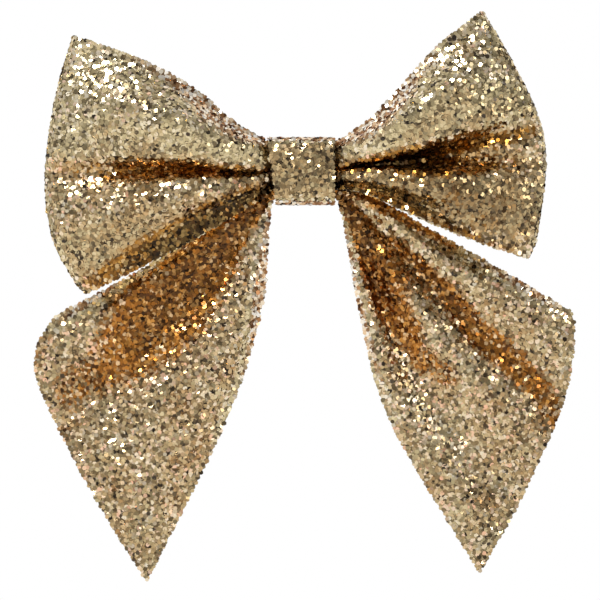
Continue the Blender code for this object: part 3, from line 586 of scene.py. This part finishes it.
def scatter_flakes(name, rows, cover, finish, seed, painted_shade_lines=()):
    """The flakes on a grid's outer side, as one mesh, with painted shade darkening them near the
    given lines.
    """
    points = rows[..., :3]
    count, width = points.shape[:2]
    outside = (points + sheet_normals(points) * CANVAS / 2).reshape(-1, 3)
    ground = add_piece(name + "_ground", outside, grid_faces(count, width).tolist(), [])
    set_attribute(ground.data, "cover", "FLOAT", cover)
    # depth carries each point's painted light, read back for the flakes' colours.
    set_attribute(ground.data, "depth", "FLOAT", rows[..., 3])
    change = ground.modifiers.new("flakes", "NODES")
    change.node_group = flake_tree
    given = {"Spacing": FLAKE_SPACING, "Tried": FLAKES_TRIED, "Radius": FLAKE_RADIUS,
             "Thickness": FLAKE_THICKNESS, "Lift": FLAKE_LIFT, "Tilt": FLAKE_TILT, "Seed": seed,
             "Finish": finish}
    for socket in flake_tree.interface.items_tree:
        if socket.name in given:
            change[socket.identifier] = given[socket.name]
    shown = ground.evaluated_get(bpy.context.evaluated_depsgraph_get())
    mesh_data = bpy.data.meshes.new_from_object(shown)
    ground.modifiers.remove(change)
    bpy.data.objects.remove(ground)
    mesh_data.name = name
    total = len(mesh_data.vertices)
    tone, depth = np.zeros(total, np.float32), np.zeros(total, np.float32)
    mesh_data.attributes["tone"].data.foreach_get("value", tone)
    mesh_data.attributes["depth"].data.foreach_get("value", depth)
    spots = np.zeros(total * 3, np.float32)
    mesh_data.vertices.foreach_get("co", spots)
    spots = spots.reshape(-1, 3)[::FLAKE_CORNERS].repeat(FLAKE_CORNERS, axis=0)
    # Painted shade: flakes near these lines get darker tones.
    for line in painted_shade_lines:
        tone *= 1 - DARKENED * near_line(line, spots[:, 0], spots[:, 2])
    chances = np.random.default_rng(seed).random(total // FLAKE_CORNERS).repeat(FLAKE_CORNERS)
    corner = np.arange(total) % FLAKE_CORNERS * 2 * pi / (FLAKE_CORNERS - 1)
    depth = np.clip(depth + (chances - 0.5) * MINGLED * np.minimum(depth * 2, 1), 0, 1)
    room = 1 - 2 * MAP_MARGIN
    own_map = np.stack([MAP_MARGIN + room * tone + MAP_SPREAD * np.cos(corner),
                        MAP_MARGIN + room * depth + MAP_SPREAD * np.sin(corner)], axis=1)
    corners = np.zeros(len(mesh_data.loops), np.int32)
    mesh_data.loops.foreach_get("vertex_index", corners)
    layer = mesh_data.uv_layers.new(name="OFBake")
    layer.data.foreach_set("uv", own_map[corners].astype(np.float32).ravel())
    obj = bpy.data.objects.new(name, mesh_data)
    bpy.context.scene.collection.objects.link(obj)
    return obj


def shown_part(rows):
    """1 where the knot doesn't cover the canvas."""
    return (np.abs(rows[..., 0]) > HIDDEN_HALF).astype(float)


# Loop flakes, with the painted shade of the hollows and of the pit beside the knot.
loop_flakes = make_flake_finish(
    "loop_flakes",
    [(0.05, (0.12, 0.048, 0.009)), (0.30, (0.30, 0.126, 0.017)), (0.60, (0.47, 0.206, 0.031)),
     (0.85, (0.67, 0.36, 0.085)), (0.97, (0.95, 0.72, 0.42))],
    [(0.10, (0.017, 0.009, 0.003)), (0.60, (0.10, 0.053, 0.014)), (0.95, (0.38, 0.24, 0.08))])
flake_tree = make_flake_tree()
left_shown = np.concatenate([inner_lap[-1], *left_rows, gathered[0]])
right_shown = np.concatenate([gathered[-1], *right_rows, outer_lap[0]])
left_glitter = scatter_flakes("loop_left_glitter", left_shown, shown_part(left_shown),
                              loop_flakes, 3, LEFT_LOOP["painted_shade_lines"])
right_glitter = scatter_flakes("loop_right_glitter", right_shown, shown_part(right_shown),
                               loop_flakes, 4, RIGHT_LOOP["painted_shade_lines"])
for piece in (loop_strip, left_glitter, right_glitter):
    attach(piece, "bow")
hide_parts("loop_strip")


# Waist thread: waxed three-ply cotton, wound four times round the gathered strip and pulled
# tight, which keeps the pleats. The knot later hides all but its edges.

THREAD = 0.8 * MM
THREAD_TURNS = 4
THREAD_PITCH = 1.3 * MM
THREAD_FRONT_Y = -13.9 * MM
THREAD_BACK_Y = -6.6 * MM
THREAD_HALF_HEIGHT = WAIST_HEIGHT / 2 + 0.7 * MM
PLIES = 3
PLY_RADIUS = 0.2 * MM
PLY_TWIST = 1.9 * MM  # length of thread in which a ply goes once round
PLY_SIDES = 7


def rounded_box(front, back, half_height, corner, steps=5):
    """Points (Y, Z) round a box with round corners, from the back's middle over the top."""
    places = [(back, 0.0)]
    for centre_y, centre_z, start in (
        (back - corner, half_height - corner, 0),
        (front + corner, half_height - corner, 90),
        (front + corner, -half_height + corner, 180),
        (back - corner, -half_height + corner, 270),
    ):
        for step in range(steps + 1):
            turn = radians(start + 90 * step / steps)
            places.append((centre_y + corner * cos(turn), centre_z + corner * sin(turn)))
    return places


def tube_about(path, radius, sides):
    """Vertices and faces of a closed round tube along a path of points."""
    path = np.asarray(path)
    heading = np.gradient(path, axis=0)
    heading /= np.linalg.norm(heading, axis=1, keepdims=True)
    side = np.cross(heading[0], (0.31, 0.72, 0.62))
    vertices = []
    for point, way in zip(path, heading):
        side = side - way * side.dot(way)
        side /= np.linalg.norm(side)
        other = np.cross(way, side)
        turns = np.arange(sides) * 2 * pi / sides
        ring = np.cos(turns)[:, None] * side + np.sin(turns)[:, None] * other
        vertices.append(point + radius * ring)
    faces = []
    for i in range(len(path) - 1):
        for k in range(sides):
            low, high = i * sides + k, i * sides + (k + 1) % sides
            faces.append((low, high, high + sides, low + sides))
    last = (len(path) - 1) * sides
    faces += [tuple(range(sides - 1, -1, -1)), tuple(range(last, last + sides))]
    return np.vstack(vertices), faces


def twisted_thread(path):
    """Plies wound round each other along a path."""
    path = np.asarray(path)
    heading = np.gradient(path, axis=0)
    heading /= np.linalg.norm(heading, axis=1, keepdims=True)
    length = np.concatenate([[0], np.cumsum(np.linalg.norm(np.diff(path, axis=0), axis=1))])
    side = np.cross(heading, (1, 0, 0))
    side /= np.linalg.norm(side, axis=1, keepdims=True)
    other = np.cross(heading, side)
    vertices, faces = [], []
    for ply in range(PLIES):
        turn = (2 * pi * (length / PLY_TWIST + ply / PLIES))[:, None]
        line = path + (THREAD / 2 - PLY_RADIUS) * (np.cos(turn) * side + np.sin(turn) * other)
        tube_points, tube_faces = tube_about(line, PLY_RADIUS, PLY_SIDES)
        start = sum(len(v) for v in vertices)
        vertices.append(tube_points)
        faces += [tuple(start + k for k in face) for face in tube_faces]
    return np.vstack(vertices), faces


def make_thread_finish(name):
    """Waxed cotton: pale, slightly shiny, with a fine fibre."""
    finish, place = new_finish(name)
    fibre = grain(place, 3000, 4.0)
    colour = fibre.between(0.3, 0.7).mix((0.55, 0.46, 0.30, 1), (0.80, 0.73, 0.56, 1))
    set_shader(finish, {"Base Color": colour, "Roughness": 0.5 + 0.2 * fibre,
                        "Normal": fibre.bump(0.04 * MM)})
    return finish


around = rounded_box(THREAD_FRONT_Y, THREAD_BACK_Y, THREAD_HALF_HEIGHT, THREAD, 3)
turn = smooth_path([*around, (THREAD_BACK_Y, 0.0)], np.linspace(0, 1, 81)[:-1])
thread_path = [((step / len(turn) - THREAD_TURNS / 2) * THREAD_PITCH,
                *(turn[step % len(turn)] + (0, WAIST_RISE)))
               for step in range(THREAD_TURNS * len(turn) + 1)]
thread = add_piece("waist_thread_plies", *twisted_thread(thread_path),
                   [make_thread_finish("waxed_thread")])
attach(thread, "bow")
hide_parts("waist_thread")


# Glue: hot-melt dabs, one on the thread's back and a flat pad behind it, which hold the tails'
# necks and the clip's plate. They set cloudy and slightly yellow.

def make_glue_finish(name):
    """Set hot-melt glue: cloudy, a little see-through, and full of small bubbles."""
    finish, place = new_finish(name)
    cloud = grain(place, 260, 3.0)
    bubbles = place.node("TexVoronoi", {}, {"Vector": place, "Scale": 900})
    colour = cloud.between(0.3, 0.7).mix((0.80, 0.72, 0.52, 1), (0.90, 0.86, 0.72, 1))
    set_shader(finish, {"Base Color": colour, "Roughness": 0.22 + 0.18 * cloud,
                        "Subsurface Weight": 0.25, "Subsurface Scale": 1.0 * MM,
                        "Normal": (cloud + bubbles.between(0.0, 0.25) * 0.3).bump(0.25 * MM)})
    return finish


def finish_nodes(names, finish):
    """Gives one finish to solids that stay as they are."""
    for name in names:
        materials = frame["nodes"][name].data.materials
        materials.clear()
        materials.append(finish)


finish_nodes(["waist_glue", "glue_pad"], make_glue_finish("set_glue"))


# Tails: two more pieces of the same canvas, glitter to the front and their woven side to the
# back. Each is cut to a point, and pinched to a narrow neck that is set in the glue pad.

TAIL_Y = -5.35 * MM
TAIL_RELIEF = 2.3 * MM
# As on the loops: painted shade in the hollows, a painted grazing reflection on the rims, and one
# level of painted light, the darker, warmer one of shade.
LEFT_TAIL = {
    "low": [(-3.6, -6.2), (-6.9, -6.5), (-7.8, -9.5), (-8.8, -20), (-10.6, -36), (-19.5, -63),
            (-39, -102.7)],
    "end": [(-39, -102.7), (-53.5, -78.7), (-65.4, -54.5), (-66.4, -44.6), (-61.5, -36.1)],
    "high": [(-3.6, -4.3), (-8, -5), (-22, -13.2), (-34, -21.1), (-46, -28.2), (-61.5, -36.3)],
    "crests": [(0, -0.6), (0.14, 0.5), (0.30, 0.6), (0.60, -0.6), (0.86, 0.5), (1, -0.1)],
    "painted_light_levels": (0.37, 0.37),
    "painted_hollow_shade": [
        [(-8, -6.5, 1.2, 1), (-12.5, -10, 2.6, 0.97), (-17.4, -15.5, 4.6, 0.96),
         (-23.4, -22.5, 7.6, 0.94), (-32.6, -32.5, 11.5, 0.92), (-40.5, -41, 11.5, 0.80),
         (-47, -48, 9.0, 0.62), (-58, -54.7, 7.0, 0.52)],
    ],
    "painted_rim_reflections": [
        [(-7.4, -8, 0.9, 0.8), (-8.4, -14, 1.6, 1), (-9.6, -24, 2.6, 1), (-11.6, -38, 2.4, 0.9),
         (-15.5, -52, 1.8, 0.7), (-22, -68, 1.2, 0.4)],
        [(-30, -18.4, 0.9, 0.5), (-40, -24.4, 1.4, 0.8), (-52, -31.4, 2.0, 0.9),
         (-62, -38.5, 2.0, 0.7)],
    ],
}
RIGHT_TAIL = {
    "low": [(3.6, -6.2), (8.4, -6.3), (9.8, -9.6), (12, -20), (15.2, -37.5), (22.5, -63),
            (44.5, -100.4)],
    "end": [(44.5, -100.4), (55.5, -80.7), (65.9, -56), (68.2, -40), (67.2, -35)],
    "high": [(3.6, -4.3), (8.4, -4.1), (14, -5.1), (20, -7.7), (31, -14.2), (42, -20.3),
             (67.2, -35)],
    "crests": [(0, 0.0), (0.10, 0.4), (0.26, -0.9), (0.50, 1.0), (0.68, -0.9), (0.86, 0.6),
               (1, -0.2)],
    "painted_light_levels": (0.35, 0.35),
    "painted_hollow_shade": [
        [(8, -6, 1.1, 1), (11.5, -9, 2.2, 1), (15, -16, 4.2, 0.94), (18.2, -24.0, 5.6, 0.88),
         (22.0, -32.2, 5.6, 0.82), (25.5, -39, 5.0, 0.74), (30, -46.5, 4.6, 0.60),
         (37, -51.5, 4.0, 0.50)],
        [(20.7, -16.5, 1.4, 0.7), (28.7, -22.6, 2.2, 0.84), (36.6, -31.0, 3.2, 0.86),
         (44.7, -41.2, 4.4, 0.80), (53.5, -48.5, 4.8, 0.72), (61, -57.2, 4.4, 0.62),
         (63, -66, 3.6, 0.46)],
        [(9, -4.6, 0.8, 1), (13, -5.6, 1.1, 0.95), (22, -10.2, 1.5, 0.85), (31, -15.4, 1.4, 0.7),
         (41, -21.2, 1.1, 0.5)],
    ],
    "painted_rim_reflections": [
        [(9.5, -10, 0.7, 0.8), (12.2, -20, 1.0, 1), (15.6, -37.5, 1.3, 1), (22.6, -62, 1.3, 0.7)],
        [(40, -19.8, 1.2, 0.6), (52, -26.8, 2.0, 0.9), (64, -34.2, 1.8, 0.8)],
    ],
}

joints = {joint["name"]: joint for joint in frame["record"]["behaviour"]["joints"]}


def tail_rows(drawing, along, across):
    """Points of a tail in rows from its neck to its slanted end."""
    x, z = np.moveaxis(fill_outline(drawing, along, across), 2, 0)
    u = along[:, None]
    relief = TAIL_RELIEF * ease((u - 0.1) / 0.3) * (1 - 0.6 * ease((u - 0.55) / 0.45))
    y = TAIL_Y - relief * wave(across, drawing["crests"])[None]
    return np.stack([x, y, z, painted_light_place(drawing, x, z, 1)], axis=2)


def make_tail(side_name, drawing, turn_over, seed):
    """One tail and its glitter."""
    along = np.linspace(0, 1, 84) ** 1.15  # closer rows near the neck
    across = np.linspace(0, 1, 49)
    rows = tail_rows(drawing, along, across)
    if turn_over:
        rows = rows[:, ::-1]
    tail = canvas_sheet(f"tail_{side_name}_canvas", rows, canvas_finishes)
    glitter = scatter_flakes(f"tail_{side_name}_glitter", rows, shown_part(rows), tail_flakes, seed)
    bend = joints[f"{side_name}_tail_flex"]["pos_m"]
    for piece in (tail, glitter):
        bend[2] - 16 * MM
        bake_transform(piece)
    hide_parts(f"tail_{side_name}")


# Tail flakes, with a redder painted shade in the hollows and the pit.
tail_flakes = make_flake_finish(
    "tail_flakes",
    [(0.05, (0.13, 0.044, 0.008)), (0.30, (0.33, 0.116, 0.014)), (0.60, (0.51, 0.188, 0.024)),
     (0.85, (0.70, 0.33, 0.07)), (0.97, (0.95, 0.70, 0.42))],
    [(0.10, (0.045, 0.018, 0.004)), (0.60, (0.19, 0.074, 0.012)), (0.95, (0.46, 0.24, 0.07))])
make_tail("left", LEFT_TAIL, True, 5)
make_tail("right", RIGHT_TAIL, False, 6)


# Clip: two stamped, nickel-plated arms on a rivet, with a coiled wire spring between their
# levers that presses the jaws shut. The upper arm's plate is bedded in the glue pad.

CLIP_HALF_MOUTH = 2.85 * MM
PIN_RADIUS = 0.9 * MM
GAP = 0.3 * MM
WIRE_RADIUS = 0.3 * MM
WIRE_SIDES = 10
SPRING_TURNS = 3
SPRING_LEG = 6.0 * MM
LEG_SPLAY = 0.2 * MM


def make_nickel_finish(name):
    """Nickel on rolled steel: drawn out along the arms, and worn dull in patches."""
    finish, place = new_finish(name)
    stretched = place.node("VectorMath", {"operation": "MULTIPLY"}, {0: place, 1: (0.08, 1, 1)})
    rolled = grain(stretched, 2600, 3.0)
    worn = grain(place, 90, 3.0)
    colour = worn.between(0.35, 0.7).mix((0.60, 0.59, 0.56, 1), (0.76, 0.75, 0.72, 1))
    set_shader(finish, {"Base Color": colour, "Metallic": 1.0, "Roughness": 0.16 + 0.22 * rolled,
                        "Normal": rolled.bump(0.01 * MM)})
    return finish


def make_spring_finish(name):
    """Bare drawn spring steel."""
    finish, place = new_finish(name)
    drawn = grain(place, 1800, 3.0)
    colour = drawn.between(0.3, 0.7).mix((0.34, 0.34, 0.35, 1), (0.52, 0.52, 0.53, 1))
    set_shader(finish, {"Base Color": colour, "Metallic": 1.0, "Roughness": 0.25 + 0.2 * drawn,
                        "Normal": drawn.bump(0.008 * MM)})
    return finish


finish_nodes(["clip_top_jaw", "clip_bottom_jaw", "clip_pivot_pin"],
             make_nickel_finish("nickel_plate"))

pivot = joints["jaw_open"]["pos_m"]
spring_low, spring_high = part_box("clip_spring")
coil_radius = PIN_RADIUS + GAP + WIRE_RADIUS
start_z = spring_low[2] + WIRE_RADIUS
pitch = (spring_high[2] - spring_low[2] - 2 * WIRE_RADIUS) / (SPRING_TURNS + 0.5)
leg_y = CLIP_HALF_MOUTH - GAP - WIRE_RADIUS
coil = [(SPRING_LEG, -leg_y, start_z), (SPRING_LEG / 2, -leg_y + LEG_SPLAY, start_z)]
coil_steps = 28
for step in range(SPRING_TURNS * coil_steps + coil_steps // 2 + 1):
    turn_angle = -pi / 2 - 2 * pi * step / coil_steps
    coil.append((coil_radius * cos(turn_angle), coil_radius * sin(turn_angle),
                 start_z + pitch * step / coil_steps))
coil += [(SPRING_LEG / 2, leg_y - LEG_SPLAY, coil[-1][2]), (SPRING_LEG, leg_y, coil[-1][2])]
spring_line = smooth_path(np.array(coil) + pivot, np.linspace(0, 1, 260))
spring = add_piece("clip_spring_wire", *tube_about(spring_line, WIRE_RADIUS, WIRE_SIDES),
                   [make_spring_finish("spring_wire")])
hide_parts("clip_spring")
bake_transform(spring)


# Knot: a band of the same canvas wrapped once round the middle, glitter out, with its ends
# lapped and glued over the clip's plate. Its left edge leans and its front is slightly crowned.

KNOT_WIDTH = 15.2 * MM
KNOT_SHIFT = 0.3 * MM
KNOT_HEIGHT = 16.2 * MM
KNOT_LEAN = 1.0 * MM
KNOT_CORNER = 2.2 * MM
KNOT_CROWN = 0.25 * MM
KNOT_LAP = 7.0 * MM
KNOT_STEP = 1.6 * MM
BAND_FRONT_Y = -15.05 * MM
BAND_BACK_Y = -2.1 * MM
BAND_LAP_Y = -0.9 * MM
# The knot's front is painted at the darker, warmer level of shade.
KNOT_PAINTED_LIGHT_LEVEL = 0.36
ROLL_START = 6.2 * MM  # height at which the band starts to roll over
ROLL_LENGTH = 1.2 * MM
UNCOATED_ROWS = 6  # at the band's start, under its lap
# Painted shade across the middle of the knot's front.
KNOT_PAINTED_SHADE = [[(-9, 0.2, 5.5, 0.35), (-3, 0, 5.5, 0.55), (6, -0.5, 5.5, 0.65), (9, -0.5, 5.5, 0.6)]]

half = KNOT_HEIGHT / 2 - CANVAS / 2
flat = half - KNOT_CORNER
corner_steps = 5
band_path = rounded_box(BAND_FRONT_Y, BAND_BACK_Y, half, KNOT_CORNER, corner_steps)
front_start = 1 + 2 * (corner_steps + 1)
band_path[front_start:front_start] = [
    (BAND_FRONT_Y - KNOT_CROWN * sin(pi * share), flat * (1 - 2 * share))
    for share in (0.2, 0.4, 0.6, 0.8)]
band_path[0] = (BAND_BACK_Y, -KNOT_LAP / 2)
band_path += [(BAND_BACK_Y + 0.1 * MM, -KNOT_LAP / 2 - KNOT_STEP),
              (BAND_LAP_Y, -KNOT_LAP / 2 - 0.2 * MM), (BAND_LAP_Y, KNOT_LAP / 2)]
band_line = smooth_path(band_path, np.linspace(0, 1, 150))
v = np.linspace(0, 1, 31)[None, :]
z = band_line[:, 1][:, None] + 0 * v
left = KNOT_SHIFT - KNOT_WIDTH / 2 - KNOT_LEAN * z / (KNOT_HEIGHT / 2)
x = left + (KNOT_SHIFT + KNOT_WIDTH / 2 - left) * v
# Where the band rolls over, its flakes get the painted grazing reflection of a rim.
rolled_over = ease((np.abs(z) - ROLL_START) / ROLL_LENGTH)
y = band_line[:, 0][:, None] + 0 * v
band_rows = np.stack([x, y, z, KNOT_PAINTED_LIGHT_LEVEL * (1 - rolled_over)], axis=2)
knot = canvas_sheet("knot_band_canvas", band_rows, canvas_finishes)
outward = np.ones(band_rows.shape[:2])
outward[:UNCOATED_ROWS] = 0
knot_glitter = scatter_flakes("knot_glitter", band_rows, outward, loop_flakes, 8, KNOT_PAINTED_SHADE)
for piece in (knot, knot_glitter):
    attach(piece, "bow")
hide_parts("knot_band")


# Studio: a pale floor, a pale surround, one large soft lamp above the front and weaker ones
# at the sides.

FLOOR_Z = -0.125
FLOOR_HALF = 6.0
FLOOR_NEAR = 0.88  # how white the floor is under the bow,
FLOOR_MIRRORED = 0.30  # and how bright it looks in the film
ROOM_DARK, ROOM_LIGHT = 0.31, 0.53  # the room to the right of the bow and to its left

floor = bpy.data.objects.new("floor", bpy.data.meshes.new("floor"))
corners = [(-1, -1), (1, -1), (1, 1), (-1, 1)]
floor.data.from_pydata([(FLOOR_HALF * x, FLOOR_HALF * y, FLOOR_Z) for x, y in corners], [],
                       [(0, 1, 2, 3)])
bpy.context.scene.collection.objects.link(floor)

floor_finish, place = new_finish("pale_floor")
set_shader(floor_finish, {"Base Color": (0.9, 0.9, 0.9, 1), "Roughness": 0.9})
tree = floor_finish.node_tree
matt = Wire(tree.nodes["Principled BSDF"].outputs[0])
white = place.node("Emission", {}, {"Color": (1, 1, 1, 1)})
seen = place.node("LightPath", {}, {}, "Is Camera Ray")
mirrored = place.node("LightPath", {}, {}, "Is Glossy Ray")
seen = seen.math("MAXIMUM", seen, mirrored * FLOOR_MIRRORED)
seen = seen.math("MAXIMUM", seen, place.node("LightPath", {}, {}, "Is Transmission Ray"))
away = place.node("VectorMath", {"operation": "LENGTH"}, {0: place}, output=1)
seen = seen * (FLOOR_NEAR + (1 - FLOOR_NEAR) * away.between(0.25, 0.55))
covered = seen.node("MixShader", {}, {0: seen, 1: matt, 2: white})
tree.links.new(covered.socket, tree.nodes["Material Output"].inputs["Surface"])
floor.data.materials.append(floor_finish)

world = bpy.data.worlds.new("surround")
bpy.context.scene.world = world
world.use_nodes = True
surround = world.node_tree.nodes["Background"]
ray = Wire(surround.outputs[0])
seen = ray.node("LightPath", {}, {}, "Is Camera Ray")
seen = seen.math("MAXIMUM", seen, ray.node("LightPath", {}, {}, "Is Transmission Ray"))
mirrored = ray.node("LightPath", {}, {}, "Is Glossy Ray")
way = ray.node("TexCoord", {}, {}, "Generated")
way_x = way.node("SeparateXYZ", {}, {"Vector": way}, output=0)
way_y = way.node("SeparateXYZ", {}, {"Vector": way}, output=1)
room = (way_x * -1).between(-0.7, 0.7) * (ROOM_LIGHT - ROOM_DARK) + ROOM_DARK
backdrop = way_y.between(-0.35, 0.45) * mirrored
light = seen.math("MAXIMUM", seen, room + (1 - room) * backdrop)
surround.inputs["Color"].default_value = (1, 1, 1, 1)
world.node_tree.links.new(light.socket, surround.inputs["Strength"])


def add_lamp(name, place, size, watts, target=(0, -0.01, -0.03)):
    """A square soft lamp that faces the bow."""
    light = bpy.data.lights.new(name, "AREA")
    light.shape = "SQUARE"
    light.size = size
    light.energy = watts
    lamp = bpy.data.objects.new(name, light)
    lamp.location = place
    lamp.rotation_mode = "QUATERNION"
    lamp.rotation_quaternion = (Vector(target) - Vector(place)).to_track_quat("-Z", "Y")
    lamp.visible_camera = False
    bpy.context.scene.collection.objects.link(lamp)


add_lamp("key", (-0.32, -0.66, 0.76), 0.22, 7.0)
add_lamp("side", (0.9, -0.7, 0.25), 0.4, 1.5)
add_lamp("back", (-0.5, 0.9, 0.4), 0.5, 3.0)

camera = bpy.data.objects.new("camera", bpy.data.cameras.new("camera"))
camera.data.lens = 600  # long and far off, so that the bow is seen almost without perspective
camera.location = (-0.5 * MM, -2.512, -32.25 * MM)
camera.rotation_euler = (pi / 2, 0, 0)
camera.data.clip_end = 50
bpy.context.scene.collection.objects.link(camera)
bpy.context.scene.camera = camera
bpy.context.scene.view_settings.view_transform = "Standard"
